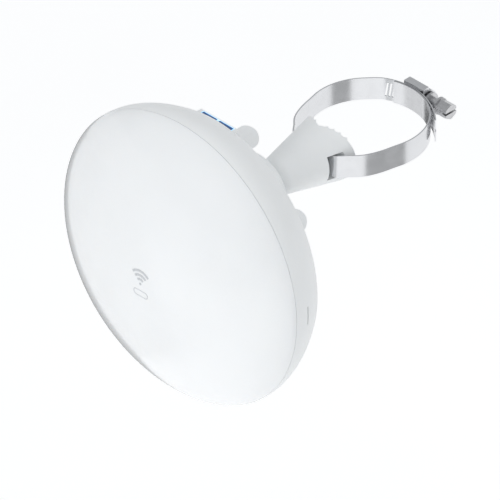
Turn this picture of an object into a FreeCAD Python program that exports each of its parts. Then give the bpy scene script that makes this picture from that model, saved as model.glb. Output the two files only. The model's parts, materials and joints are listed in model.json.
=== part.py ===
import FreeCAD, Part
import Sketcher
import math
import os
import re

# Outdoor wireless bridge: a small dish radio on a ball joint, held to a pole by a worm-drive band.
# Millimetres. +Z is up along the pole, and the dish looks along -Y.
# The origin is on the pole's axis, at the middle of the clamp band's width.

Vector = FreeCAD.Vector
Rotation = FreeCAD.Rotation

SIZES = [
    # the pole that the band closes on
    ("pole_radius", 30.15, "outer radius of a 60.3 mm pole"),
    # the dish head, measured about its own axis; depths count backwards from the seam
    ("dish_radius", 79.1, "widest radius of the head"),
    ("dish_rise", "=0.379 * dish_radius", "height of the dome over the widest radius"),
    ("dish_bulge", 1.8, "exponent of the dome's superellipse"),
    ("widest_depth", 1.4, "depth of the widest radius behind the seam"),
    ("ball_distance", 80.3, "from the pole's axis to the ball's centre"),
    ("ball_depth", 48.0, "depth of the ball's centre behind the seam"),
    ("seam_distance", "=ball_distance + ball_depth", "from the pole's axis to the seam"),
    ("dish_drop", 15.7, "dish axis below the ball's axis"),
    ("wall", 2.2, "moulded wall"),
    ("seam_gap", 0.2, "open seam between the radome and the rear shell"),
    ("corner_fall", 9.9, "from the widest radius in to the rear corner"),
    ("corner_radius", "=dish_radius - corner_fall", "radius of the head's rear corner"),
    ("corner_depth", 24.3, "depth of the rear corner"),
    ("back_depth", 39.5, "depth of the rear dome at its middle"),
    ("bore_wall", 2.9, "wall beside the radome's spigot"),
    ("bore_radius", "=dish_radius - bore_wall", "rear shell's bore for the radome's spigot"),
    ("bore_depth", 9.5, "depth of that bore"),
    ("spigot_gap", 0.3, "clearance of the spigot in the bore"),
    ("spigot_wall", 1.7, "wall of the spigot"),
    ("spigot_depth", 5.0, "how far the spigot enters the rear shell"),
    ("spigot_root", 2.4, "how far the spigot's foot reaches into the radome"),
    ("seal_depth", 2.4, "depth of the seal's groove"),
    ("seal_width", 1.6, "width of the seal"),
    ("seal_height", 0.8, "depth of the groove in the spigot"),
    # the ball joint
    ("ball_radius", 14.0, "ball on the arm"),
    ("joint_gap", 0.1, "running clearance in the joint"),
    ("liner_wall", 0.8, "wall of the two slip liners"),
    ("cup_wall", 2.0, "wall of the socket"),
    ("boss_radius", "=ball_radius + 4.8", "end of the socket's boss"),
    ("boss_flare", 4.2, "growth of the boss down to the shell"),
    ("boss_foot", 34.0, "depth where the boss starts inside the shell"),
    ("boss_depth", "=ball_depth - 3", "depth of the boss's end face"),
    ("thread_radius", "=ball_radius + 2.6", "threaded end of the socket"),
    ("thread_depth", "=ball_depth + 2", "depth of the threaded end"),
    ("washer_width", 0.9, "thickness of the thrust washer"),
    ("ring_radius", "=thread_radius + 2.6", "lock ring"),
    ("ring_depth", "=ball_depth + 0.43 * ball_radius", "depth of the ring's rear edge"),
    ("lip_rise", 2.0, "how far the ring's lip stands behind that edge"),
    ("lip_bore", 5.0, "bore of the ring before the ball's room is cut"),
    ("ear_reach", "=ring_radius + 10.6", "lock ring's ears, from the joint's axis"),
    ("ear_inner", "=ring_radius - 1.6", "inner edge of an ear"),
    ("ear_front", "=boss_depth + 3", "front end of an ear"),
    ("ear_depth", "=ball_depth + 18.4", "rear end of an ear"),
    ("ear_shoulder", 3.0, "straight part of an ear's front"),
    ("ear_lead", 4.0, "how far an ear's front falls back at its outer edge"),
    ("ear_width", 6.0, "thickness of an ear"),
    ("ear_edge", 2.8, "thickness at an ear's outer edge"),
    ("ear_round", 6.0, "corner radius of an ear"),
    # the arm
    ("neck_radius", 6.8, "neck behind the ball"),
    ("neck_end", 13.7, "end of the neck behind the ball's centre"),
    ("bell_radius", 10.2, "where the bell meets the cone"),
    ("bell_end", 18.3, "end of the bell behind the ball's centre"),
    ("arm_radius", 17.0, "cone at the jaw"),
    ("jaw_distance", "=pole_radius + 4.15", "bottom of the vee jaw from the pole's axis"),
    ("jaw_slope", 0.45, "rise of the vee for each millimetre sideways"),
    ("tooth_pitch", 3.0, "ridges in the jaw"),
    ("tooth_height", 0.9, "height of a ridge"),
    ("slot_front", "=pole_radius + 11.15", "front of the band's slot"),
    ("slot_back", "=pole_radius + 6.05", "back of the band's slot"),
    ("slot_height", 14.0, "height of the band's slot"),
    ("slot_half", 9.0, "half the flat length of the slot's back"),
    ("slot_flare", 0.6, "how much the slot opens for each millimetre further out"),
    # the worm-drive band
    ("band_width", 12.7, "half-inch band"),
    ("band_wall", 0.7, "band's thickness"),
    ("band_line", "=pole_radius + 7.85", "where the band crosses the arm"),
    ("screw_distance", "=pole_radius + 5.95", "worm's axis from the pole's axis"),
    ("screw_radius", 3.6, "worm over its thread"),
    ("screw_pitch", 2.2, "worm's pitch"),
    ("housing_length", 13.0, "worm housing along the worm"),
    ("housing_width", 15.0, "worm housing across the band"),
    ("housing_radius", 5.2, "worm housing's round back"),
    ("head_start", 14.6, "hex head"),
    ("head_length", 7.2, "length of the hex head"),
    ("head_flats", 7.4, "across the hex head's flats"),
    # antenna
    ("flange_radius", "=bore_radius - 2.6", "reflector's flange"),
    ("reflector_radius", "=flange_radius - 4.6", "rim of the parabola"),
    ("reflector_rim", 3.5, "depth of the rim"),
    ("reflector_vertex", 23.0, "depth of the vertex"),
    ("reflector_wall", 0.8, "sheet of the reflector"),
    ("feed_radius", 6.2, "feed tube"),
    ("feed_wall", 1.2, "feed tube's wall"),
    ("feed_reach", 17.0, "feed in front of the seam"),
    ("sub_radius", 17.0, "sub-reflector"),
    ("sub_wall", 2.0, "sub-reflector's thickness"),
    # electronics
    ("board_radius", 45.0, "main board"),
    ("board_depth", 25.5, "front face of the main board"),
    ("board_wall", 1.6, "circuit board"),
    ("post_radius", 3.0, "posts and screw bosses"),
    ("screw_shank", 1.1, "small screws"),
    ("screw_head", 2.2, "head of a small screw"),
    ("rib_circle", "=bore_radius - 4.5", "circle of the ribs that hold the reflector"),
    ("rib_radius", 2.0, "a rib that holds the reflector"),
    ("pin_radius", 0.8, "pins through the reflector's flange"),
    ("pin_length", 6.0, "depth of the holes for pins and small screws"),
    # cable bay under the joint
    ("bay_width", 29.0, "cable bay"),
    ("bay_wall", 2.0, "wall of the bay"),
    ("bay_front", 20.3, "depth where the bay starts inside the shell"),
    ("bay_mouth", "=corner_radius + 2.8", "mouth of the bay below the dish axis"),
    ("bay_top", "=bay_mouth - 39", "top of the bay below the dish axis"),
    ("jack_height", 13.5, "modular jack off the board"),
    ("bay_depth", "=board_depth + board_wall + jack_height + bay_wall + 1.4", "depth of the bay's back"),
    ("bay_floor", "=board_depth + 1.4", "depth of the bay's floor"),
    ("jack_width", 16.0, "modular jack"),
    ("jack_length", 20.0, "modular jack's length"),
    ("jack_mouth", "=bay_mouth - 14", "jack's mouth below the dish axis"),
    ("cable_radius", 3.2, "cable hole in the grommet"),
    # light bar
    ("bar_height", "=corner_radius - 0.4", "top of the light bar above the dish axis"),
    ("bar_depth", 24.2, "middle of the light bar's windows"),
    ("bar_front", 2.4, "housing in front of the windows' middle"),
    ("bar_back", 2.2, "housing behind the windows' middle"),
    ("bar_root", 6.0, "how far the housing reaches down into the shell"),
    ("bar_length", 26.0, "light bar's housing"),
    ("window_length", 9.45, "one window"),
    ("window_width", 2.8, "one window"),
    ("window_margin", 0.35, "light guide beside a window"),
    ("guide_end", 0.6, "light guide at the end of a window"),
    ("guide_height", 3.0, "height of the light guide"),
    ("glass_height", 1.6, "thickness of a window"),
    ("led_length", 22.0, "strip board under the light guide"),
    ("led_top", 4.6, "strip board's top below the bar's top"),
    ("led_foot", 8.0, "strip board's foot below the bar's top"),
    ("window_space", 1.6, "divider between the windows"),
    # small things in the rear shell
    ("button_radius", 2.6, "reset button"),
    ("button_stand", 0.8, "how far the button stands out of its pad"),
    ("button_travel", 1.0, "gap between the button and its switch"),
    ("switch_radius", 1.9, "reset switch"),
    ("switch_height", 1.6, "reset switch off the board"),
    ("button_side", 24.0, "reset button and vent, sideways"),
    ("button_drop", 30.0, "reset button and vent, below the dish axis"),
    ("vent_radius", 4.5, "vent plug"),
    ("ground_side", 30.0, "ground screw, to the left"),
    ("ground_rise", 8.0, "ground screw, above the dish axis"),
    ("ground_radius", 2.0, "shank of the ground screw"),
    ("ground_pad", 6.0, "flat pad of the ground screw"),
    ("pad_foot", 30.0, "depth where the pads start inside the shell"),
    ("pad_depth", "=back_depth - 1.2", "flat pads round the button, the vent and the ground screw"),
    ("slit_depth", 8.5, "release slit behind the seam"),
    ("slit_length", 10.7, "release slit"),
    ("slit_width", 0.7, "release slit"),
]

doc = FreeCAD.newDocument("wireless_bridge")
sheet = doc.addObject("Spreadsheet::Sheet", "Sizes")
for row, (alias, number, meaning) in enumerate(SIZES, start=1):
    sheet.set("A%d" % row, alias)
    sheet.set("B%d" % row, str(number))
    sheet.set("C%d" % row, meaning)
    sheet.setAlias("B%d" % row, alias)
doc.recompute()

ALIASES = {alias for alias, number, meaning in SIZES}
S = {alias: float(sheet.get(alias)) for alias in ALIASES}
nodes = []


# ---------------------------------------------------------------- helpers

def cells(text):
    """Turn plain words in an expression into references to the sheet's cells."""
    return re.sub(r"[a-z_]+",
                  lambda word: ("Sizes." if word.group() in ALIASES else "") + word.group(), str(text))


def value(text):
    """The number that an expression gives now."""
    return float(sheet.evalExpression(cells(text)))


def bind(item, **sizes):
    """Bind properties of a document object to expressions."""
    for name, text in sizes.items():
        item.setExpression(name, cells(text))
    return item


def place(item, at, rotation=None):
    """Put an object at a point given by three expressions."""
    point = Vector(*[value(part) for part in at])
    item.Placement = FreeCAD.Placement(point, rotation or Rotation())
    for letter, text in zip("xyz", at):
        item.setExpression("Placement.Base." + letter, cells(text))
    return item


ALONG = {"X": Rotation(Vector(0, 0, 1), Vector(1, 0, 0)),
         "Y": Rotation(Vector(0, 0, 1), Vector(0, 1, 0)),
         "Z": Rotation()}


def cylinder(name, radius, length, at, along="Y"):
    item = doc.addObject("Part::Cylinder", name)
    bind(item, Radius=radius, Height=length)
    return place(item, at, ALONG[along])


def cone(name, start_radius, end_radius, length, at, along="Y"):
    item = doc.addObject("Part::Cone", name)
    bind(item, Radius1=start_radius, Radius2=end_radius, Height=length)
    return place(item, at, ALONG[along])


def ball(name, radius, at):
    item = doc.addObject("Part::Sphere", name)
    bind(item, Radius=radius)
    return place(item, at)


def box(name, low, high):
    """A box between two corners, each three expressions."""
    item = doc.addObject("Part::Box", name)
    bind(item, Length="(%s) - (%s)" % (high[0], low[0]), Width="(%s) - (%s)" % (high[1], low[1]),
         Height="(%s) - (%s)" % (high[2], low[2]))
    return place(item, low)


def hexagon(name, flats, length, at):
    """A hexagonal prism along X."""
    item = doc.addObject("Part::Prism", name)
    item.Polygon = 6
    bind(item, Circumradius="(%s) / sqrt(3)" % flats, Height=length)
    return place(item, at, ALONG["X"])


def shaped(name, shape):
    """An object whose curved shape is worked out by Part's own functions."""
    item = doc.addObject("Part::Feature", name)
    item.Shape = shape
    return item


def fused(name, *items):
    item = doc.addObject("Part::MultiFuse", name)
    item.Shapes = list(items)
    item.Refine = True
    return item


def shared(name, *items):
    item = doc.addObject("Part::MultiCommon", name)
    item.Shapes = list(items)
    return item


def group(name, items):
    """Separate solids kept together as one sub-part."""
    item = doc.addObject("Part::Compound", name)
    item.Links = list(items)
    return item


def cut(name, base, *tools):
    item = doc.addObject("Part::Cut", name)
    item.Base = base
    item.Tool = tools[0] if len(tools) == 1 else fused(name + "_tools", *tools)
    return item


def revolved(name, points, at):
    """A body turned about Y: each point is a radius and a depth, both expressions."""
    body = doc.addObject("PartDesign::Body", name)
    sketch = body.newObject("Sketcher::SketchObject", name + "_outline")
    plane = [item for item in body.Origin.OriginFeatures if item.Role == "XY_Plane"][0]
    sketch.AttachmentSupport = [(plane, "")]
    sketch.MapMode = "FlatFace"
    corners = [Vector(value(radius), value(depth), 0) for radius, depth in points]
    for start, end in zip(corners, corners[1:] + corners[:1]):
        sketch.addGeometry(Part.LineSegment(start, end), False)
    count = len(points)
    for index in range(count):
        sketch.addConstraint(Sketcher.Constraint("Coincident", index, 2, (index + 1) % count, 1))
    for index, pair in enumerate(points):
        for kind, axis, text in (("DistanceX", -2, pair[0]), ("DistanceY", -1, pair[1])):
            if text == "0":
                sketch.addConstraint(Sketcher.Constraint("PointOnObject", index, 1, axis))
                continue
            number = sketch.addConstraint(Sketcher.Constraint(kind, -1, 1, index, 1, value(text)))
            sketch.setExpression("Constraints[%d]" % number, cells(text))
    turn = body.newObject("PartDesign::Revolution", name + "_turn")
    turn.Profile = sketch
    turn.ReferenceAxis = (sketch, ["V_Axis"])
    turn.Angle = 360
    place(body, at)
    return body


def keep(item, label):
    """Name a finished sub-part."""
    item.Label = label
    nodes.append(item)
    return item


# Where the head and the joint stand: depths count along +Y from these points.
HEAD = ("0", "-seam_distance", "-dish_drop")
JOINT = ("0", "-ball_distance", "0")


def head(x, depth, rise):
    """A point on the head: sideways, behind the seam and above the dish axis."""
    return (str(x), "-seam_distance + (%s)" % depth, "-dish_drop + (%s)" % rise)


def joint(depth, x="0", z="0"):
    """A point near the joint: its depth counts from the seam, and the rest from the ball's axis."""
    return (str(x), "-seam_distance + (%s)" % depth, str(z))


# ---------------------------------------------------------------- curves of the head

def beside(points, distance):
    """Points moved sideways from a line by a distance, to the right of its direction."""
    moved = []
    for index, (across, along) in enumerate(points):
        before = points[max(index - 1, 0)]
        after = points[min(index + 1, len(points) - 1)]
        run = math.hypot(after[0] - before[0], after[1] - before[1])
        moved.append((across + (after[1] - before[1]) / run * distance,
                      along - (after[0] - before[0]) / run * distance))
    return moved


def curve(points, start=None, end=None):
    """A smooth edge through points in the X-Y plane."""
    spline = Part.BSplineCurve()
    places = [Vector(across, along, 0) for across, along in points]
    if start is None:
        spline.interpolate(places)
    else:
        spline.interpolate(Points=places, InitialTangent=Vector(*start, 0), FinalTangent=Vector(*end, 0))
    return spline.toShape()


def straight(start, end):
    return Part.LineSegment(Vector(*start, 0), Vector(*end, 0)).toShape()


def turned(edges, distance, rise):
    """Turn a closed outline about Y and put it at a distance before the pole."""
    face = Part.Face(Part.Wire(Part.__sortEdges__(edges)))
    solid = face.revolve(Vector(0, 0, 0), Vector(0, 1, 0), 360)
    solid.translate(Vector(0, -distance, rise))
    return solid


def dome_front(radius):
    """How far the radome's outside stands before the seam at a radius."""
    share = max(0.0, 1 - (radius / S["dish_radius"]) ** S["dish_bulge"])
    return S["dish_rise"] * share ** (1 / S["dish_bulge"]) - S["widest_depth"]


STEPS = 10
seam_half = S["seam_gap"] / 2
seam_share = (S["widest_depth"] + seam_half) / S["dish_rise"]
seam_radius = S["dish_radius"] * (1 - seam_share ** S["dish_bulge"]) ** (1 / S["dish_bulge"])


def dome_points():
    """The radome's outside from its apex to the seam, as radius and depth."""
    radii = [seam_radius * math.sin(math.pi / 2 * step / STEPS) for step in range(STEPS + 1)]
    return [(radius, -dome_front(radius)) for radius in radii]


def shell_side():
    """The rear shell's outside from the seam to the rear corner."""
    radius, corner, depth = S["dish_radius"], S["corner_radius"], S["corner_depth"]
    fall = radius - corner
    return [(radius - 0.01 * fall, seam_half),
            (radius, S["widest_depth"]),
            (radius - 0.10 * fall, 0.36 * depth),
            (radius - 0.42 * fall, 0.66 * depth),
            (corner + 0.15 * fall, 0.93 * depth)]


def shell_back(inset):
    """The rear shell's back from the rear corner to its middle: an arc about a point of the axis."""
    across = 0.985 * S["corner_radius"]
    rise = 0.96 * (S["back_depth"] - S["corner_depth"])
    radius = (across ** 2 + rise ** 2) / (2 * rise)
    middle = S["back_depth"] - radius
    widest = math.asin(across / radius)
    return [((radius - inset) * math.sin(turn), middle + (radius - inset) * math.cos(turn))
            for turn in (widest, widest / 2, 0)]


def shell_solid(inset):
    """The rear shell's outline, moved in by a wall, turned into a solid."""
    side = beside(shell_side(), -inset)
    back = shell_back(inset)
    side[0] = (side[0][0], seam_half)
    top = (0, seam_half)
    side_edge = curve(side)
    back_edge = Part.Arc(*[Vector(across, along, 0) for across, along in back]).toShape()
    edges = [side_edge, straight(side[-1], back[0]), back_edge,
             straight(back[-1], top), straight(top, side[0])]
    return turned(edges, S["seam_distance"], -S["dish_drop"])


# ---------------------------------------------------------------- radome and rear shell

def make_radome():
    outside = dome_points()
    inside = beside(outside, -S["wall"])
    inside[0] = (0, inside[0][1])
    inside[-1] = (seam_radius - S["wall"], -seam_half)
    outer_edge = curve(outside, (1, 0), (0.12, 1))
    inner_edge = curve(inside, (1, 0), (0.12, 1))
    edges = [outer_edge, straight(outside[-1], inside[-1]), inner_edge, straight(inside[0], outside[0])]
    dome = shaped("radome_dome", turned(edges, S["seam_distance"], -S["dish_drop"]))
    outer = "bore_radius - spigot_gap"
    inner = "bore_radius - spigot_gap - spigot_wall"
    groove = "bore_radius - spigot_gap - seal_height"
    spigot = revolved("radome_spigot", [
        (inner, "-spigot_root - spigot_wall / 2"), (outer, "-spigot_root"),
        (outer, "seal_depth"), (groove, "seal_depth"),
        (groove, "seal_depth + seal_width"), (outer, "seal_depth + seal_width"),
        (outer, "spigot_depth"), (inner, "spigot_depth")], HEAD)
    keep(fused("radome", dome, spigot), "radome")
    seal = revolved("radome_seal", [
        (groove, "seal_depth"), ("bore_radius", "seal_depth"),
        ("bore_radius", "seal_depth + seal_width"), (groove, "seal_depth + seal_width")], HEAD)
    keep(seal, "radome_seal")


POSTS = [(35.7, 13.0), (-35.7, 13.0), (35.7, -13.0), (-35.7, -13.0)]
RIBS = 6


def rib_places():
    """Sideways and upward places of the reflector's ribs."""
    turns = [math.radians(30 + 360 / RIBS * index) for index in range(RIBS)]
    return [(S["rib_circle"] * math.cos(turn), S["rib_circle"] * math.sin(turn)) for turn in turns]


def light_block(name, side, front, back, low, high):
    """A box round the windows' middle: half length, front, back, and its drops under the bar's top."""
    return box(name, head("-(%s)" % side, "bar_depth - (%s)" % front, "bar_height - (%s)" % low),
               head(side, "bar_depth + (%s)" % back, "bar_height - (%s)" % high))


GUIDE_HALF = "window_length + window_space / 2"
GUIDE_SIDE = "window_width / 2 + window_margin"
BAY_OUTSIDE = (head("-bay_width / 2", "bay_front", "-bay_mouth"),
               head("bay_width / 2", "bay_depth", "-bay_top"))


def make_rear_shell():
    outside = shaped("shell_outside", shell_solid(0))
    inside = shaped("shell_inside", shell_solid(S["wall"]))
    boss = cone("boss", "boss_radius + boss_flare", "boss_radius", "boss_depth - boss_foot",
                joint("boss_foot"))
    light = light_block("light_housing", "bar_length / 2", "bar_front", "bar_back", "bar_root", "0")
    pads = [cylinder(name, radius, "pad_depth - pad_foot", head(side, "pad_foot", rise))
            for name, radius, side, rise in (
                ("button_pad", "button_radius + wall", "button_side", "-button_drop"),
                ("vent_pad", "vent_radius + 3", "-button_side", "-button_drop"),
                ("ground_boss", "ground_pad", "-ground_side", "ground_rise"))]
    skin = fused("shell_skin", outside, boss, light, *pads)
    bore = cylinder("spigot_bore", "bore_radius", "bore_depth", head("0", "0", "0"))
    window = box("bay_window", *BAY_OUTSIDE)
    shell = cut("shell_hollow", skin, fused("shell_room", inside, bore, window))

    cup = ball("cup_outside", "ball_radius + liner_wall + 2 * joint_gap + cup_wall", JOINT)
    cup_end = cylinder("cup_end", "ring_radius", "thread_depth - board_depth", joint("board_depth"))
    thread = cylinder("thread", "thread_radius", "thread_depth - pad_depth", joint("pad_depth"))
    posts = [cylinder("post_%d" % index, "post_radius", "back_depth - board_depth - board_wall - 4",
                      head(x, "board_depth + board_wall", rise))
             for index, (x, rise) in enumerate(POSTS)]
    ribs = [cylinder("rib_%d" % index, "rib_radius", "corner_depth - 5 - reflector_rim - reflector_wall",
                     head(x, "reflector_rim + reflector_wall", rise))
            for index, (x, rise) in enumerate(rib_places())]
    features = fused("inner_features", shared("cup_part", cup, cup_end), *posts, *ribs)
    envelope = fused("shell_envelope", outside, boss, thread)
    whole = fused("shell_whole", shell, shared("inner_trimmed", features, envelope), thread)

    tools = [ball("cup_inside", "ball_radius + liner_wall + 2 * joint_gap", JOINT)]
    for index, (x, rise) in enumerate(POSTS):
        tools.append(cylinder("post_hole_%d" % index, "screw_shank", "pin_length",
                              head(x, "board_depth + board_wall", rise)))
    for index, (x, rise) in enumerate(rib_places()):
        tools.append(cylinder("rib_hole_%d" % index, "pin_radius", "pin_length",
                              head(x, "reflector_rim + reflector_wall", rise)))
    for side, sign in (("right", ""), ("left", "-")):
        middle = "%sdish_radius" % sign
        tools.append(box("slit_" + side,
                         head(middle + " - 4", "slit_depth - slit_width / 2", "-slit_length / 2"),
                         head(middle + " + 4", "slit_depth + slit_width / 2", "slit_length / 2")))
    for name, radius, side, rise in (
            ("button_hole", "button_radius + joint_gap", "button_side", "-button_drop"),
            ("vent_hole", "vent_radius", "-button_side", "-button_drop"),
            ("ground_hole", "ground_radius", "-ground_side", "ground_rise")):
        tools.append(cylinder(name, radius, "pad_depth - board_depth + 1",
                              head(side, "board_depth + board_wall", rise)))
    tools.append(light_block("light_pocket", GUIDE_HALF + " + guide_end", GUIDE_SIDE, GUIDE_SIDE,
                             "guide_height", "-1"))
    tools.append(light_block("light_way", "led_length / 2 + 0.2", "1.2", "0.8", "led_foot + 1", "2"))
    keep(cut("rear_shell", whole, *tools), "rear_shell")


def make_port_housing():
    """The cable bay: a box let into the rear shell, open to the shell's inside and at its mouth."""
    outside = box("bay_outside", *BAY_OUTSIDE)
    back = head("bay_width / 2 - bay_wall", "bay_depth - bay_wall", "-bay_top - bay_wall")
    bay_room = box("bay_room", head("-bay_width / 2 + bay_wall", "bay_floor", "-bay_mouth - 1"), back)
    board_room = box("board_room", head("-bay_width / 2 + bay_wall", "bay_front - 1", "-jack_mouth + 3"), back)
    inside = shaped("bay_shell_inside", shell_solid(S["wall"]))
    keep(cut("port_housing", outside, inside, bay_room, board_room), "port_housing")


# ---------------------------------------------------------------- antenna

def make_reflector():
    radius, vertex, rim = S["reflector_radius"], S["reflector_vertex"], S["reflector_rim"]
    steps = 6
    shares = [step / steps for step in range(steps + 1)]
    bowl = [(radius * share, vertex - (vertex - rim) * share ** 2) for share in shares]
    front = curve(bowl)
    back = [(across, along + S["reflector_wall"]) for across, along in bowl]
    edges = [front, straight(bowl[-1], back[-1]), curve(back), straight(back[0], bowl[0])]
    dish = shaped("reflector_bowl", turned(edges, S["seam_distance"], -S["dish_drop"]))
    flange = revolved("reflector_flange", [
        ("reflector_radius - 0.5", "reflector_rim"), ("flange_radius", "reflector_rim"),
        ("flange_radius", "reflector_rim + reflector_wall"),
        ("reflector_radius - 0.5", "reflector_rim + reflector_wall")], HEAD)
    hole = cylinder("feed_hole", "feed_radius", "10", head("0", "reflector_vertex - 5", "0"))
    holes = [cylinder("flange_hole_%d" % index, "pin_radius", "pin_length", head(x, "reflector_rim - 3", rise))
             for index, (x, rise) in enumerate(rib_places())]
    keep(cut("reflector", fused("reflector_whole", dish, flange), hole, *holes), "reflector")


def make_feed():
    bore = "feed_radius - feed_wall"
    tube = revolved("feed_tube", [
        (bore, "-feed_reach"), ("feed_radius", "-feed_reach"), ("feed_radius", "board_depth - 1.6"),
        ("feed_radius + 2.6", "board_depth - 1.6"), ("feed_radius + 2.6", "board_depth"),
        (bore, "board_depth")], HEAD)
    keep(tube, "feed_tube")
    support = revolved("feed_support", [
        ("feed_radius", "-feed_reach + 9"), ("feed_radius + 0.8", "-feed_reach + 9"),
        ("sub_radius - 3", "-feed_reach"), ("feed_radius", "-feed_reach")], HEAD)
    keep(support, "feed_support")
    disc = revolved("subreflector", [
        ("0", "-feed_reach - sub_wall"), ("sub_radius * 0.6", "-feed_reach - sub_wall"),
        ("sub_radius", "-feed_reach - sub_wall * 0.4"), ("sub_radius", "-feed_reach"),
        ("0", "-feed_reach")], HEAD)
    keep(disc, "subreflector")


# ---------------------------------------------------------------- electronics

BOARD_BACK = "board_depth + board_wall"
# name, left, right, low, high, front and back of each block on the main board
BOARD_PARTS = [
    ("radio_shield", -33, -12, 17, 34, "board_depth - 3", "board_depth"),
    ("processor_shield", 12, 32, 14, 32, "board_depth - 3", "board_depth"),
    ("ethernet_magnetics", 14, 27, -34, -18, "board_depth - 3.4", "board_depth"),
    ("heat_spreader", 12, 30, -6, 6, BOARD_BACK, BOARD_BACK + " + 2.5"),
]


def make_board():
    disc = cylinder("board_disc", "board_radius", "board_wall", head("0", "board_depth", "0"))
    tab = box("board_tab", head("-jack_width / 2 - 2", "board_depth", "-jack_mouth + 4"),
              head("jack_width / 2 + 2", "board_depth + board_wall", "-board_radius + 6"))
    holes = [cylinder("board_hole_%d" % index, "screw_shank", "board_wall + 2",
                      head(x, "board_depth - 1", rise)) for index, (x, rise) in enumerate(POSTS)]
    keep(cut("main_board", fused("board_whole", disc, tab), *holes), "main_board")
    screws = []
    for index, (x, rise) in enumerate(POSTS):
        top = cylinder("board_screw_head_%d" % index, "screw_head", "1.4", head(x, "board_depth - 1.4", rise))
        shank = cylinder("board_screw_shank_%d" % index, "screw_shank", "6.4",
                         head(x, "board_depth - 0.6", rise))
        screws.append(fused("board_screw_%d" % index, top, shank))
    keep(group("board_screws", screws), "board_screws")
    for label, left, right, low, high, front, back in BOARD_PARTS:
        keep(box(label, head(left, front, low), head(right, back, high)), label)
    switch = cylinder("reset_switch", "switch_radius", "switch_height",
                      head("button_side", BOARD_BACK, "-button_drop"))
    keep(switch, "reset_switch")
    led = light_block("led_board", "led_length / 2", "1.0", "-0.2", "led_foot", "led_top")
    keep(led, "led_board")


def make_jack():
    low = BOARD_BACK
    shell = box("jack_block", head("-jack_width / 2", low, "-jack_mouth"),
                head("jack_width / 2", low + " + jack_height", "-jack_mouth + jack_length"))
    room = box("jack_room", head("-6", low + " + 2.6", "-jack_mouth - 1"),
               head("6", low + " + 10.8", "-jack_mouth + 14"))
    notch = box("jack_notch", head("-3", low + " + 1.0", "-jack_mouth - 1"),
                head("3", low + " + 3", "-jack_mouth + 14"))
    keep(cut("ethernet_jack", shell, room, notch), "ethernet_jack")
    plate = box("gasket_plate", head("-bay_width / 2 + bay_wall", "bay_floor", "-jack_mouth"),
                head("bay_width / 2 - bay_wall", "bay_depth - bay_wall", "-jack_mouth + 2.4"))
    hole = box("gasket_hole", head("-jack_width / 2", low, "-jack_mouth - 1"),
               head("jack_width / 2", low + " + jack_height", "-jack_mouth + 3"))
    keep(cut("port_gasket", plate, hole), "port_gasket")


# ---------------------------------------------------------------- light bar, button, vent, small fittings

def make_light_bar():
    frame = light_block("bar_frame", GUIDE_HALF + " + guide_end", GUIDE_SIDE, GUIDE_SIDE, "guide_height", "0")
    pockets = []
    windows = []
    for side, start, end in (("left", "-(%s)" % GUIDE_HALF, "-window_space / 2"),
                             ("right", "window_space / 2", GUIDE_HALF)):
        low = head(start, "bar_depth - window_width / 2", "bar_height - glass_height")
        back = "bar_depth + window_width / 2"
        pockets.append(box("window_pocket_" + side, low, head(end, back, "bar_height + 1")))
        windows.append(box("window_" + side, low, head(end, back, "bar_height")))
    keep(cut("light_guide", frame, *pockets), "light_guide")
    keep(group("light_windows", windows), "light_windows")


def make_button():
    seat = BOARD_BACK + " + switch_height + button_travel"
    stem = cylinder("button_stem", "button_radius", "pad_depth + button_stand - (%s)" % seat,
                    head("button_side", seat, "-button_drop"))
    keep(stem, "reset_button")


def make_fittings():
    plug = cylinder("vent_stem", "vent_radius", "4.2",
                    head("-button_side", "pad_depth - 4.2", "-button_drop"))
    cap = cylinder("vent_cap", "vent_radius + 1.6", "1.6", head("-button_side", "pad_depth", "-button_drop"))
    keep(fused("vent", plug, cap), "vent_plug")
    shank = cylinder("ground_shank", "ground_radius", "8",
                     head("-ground_side", "pad_depth - 7", "ground_rise"))
    top = cylinder("ground_head", "ground_radius + 1.8", "2.4",
                   head("-ground_side", "pad_depth + 1.2", "ground_rise"))
    washer = cylinder("ground_washer", "ground_radius + 2.8", "1.2",
                      head("-ground_side", "pad_depth", "ground_rise"))
    keep(fused("ground_screw", shank, top, washer), "ground_screw")
    rivets = []
    for index, (x, rise) in enumerate(rib_places()):
        top = cylinder("reflector_screw_head_%d" % index, "1.7", "1.1", head(x, "reflector_rim - 1.1", rise))
        shank = cylinder("reflector_screw_shank_%d" % index, "pin_radius", "pin_length",
                         head(x, "reflector_rim - 0.4", rise))
        rivets.append(fused("reflector_screw_%d" % index, top, shank))
    keep(group("reflector_screws", rivets), "reflector_screws")
    clips = []
    for side, low, high in (("right", "bore_radius - 1.7", "bore_radius - 0.5"),
                            ("left", "-bore_radius + 0.5", "-bore_radius + 1.7")):
        clips.append(box("clip_" + side, head(low, "spigot_depth", "-4"),
                         head(high, "bore_depth - spigot_gap", "4")))
    keep(group("case_clips", clips), "case_clips")


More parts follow.
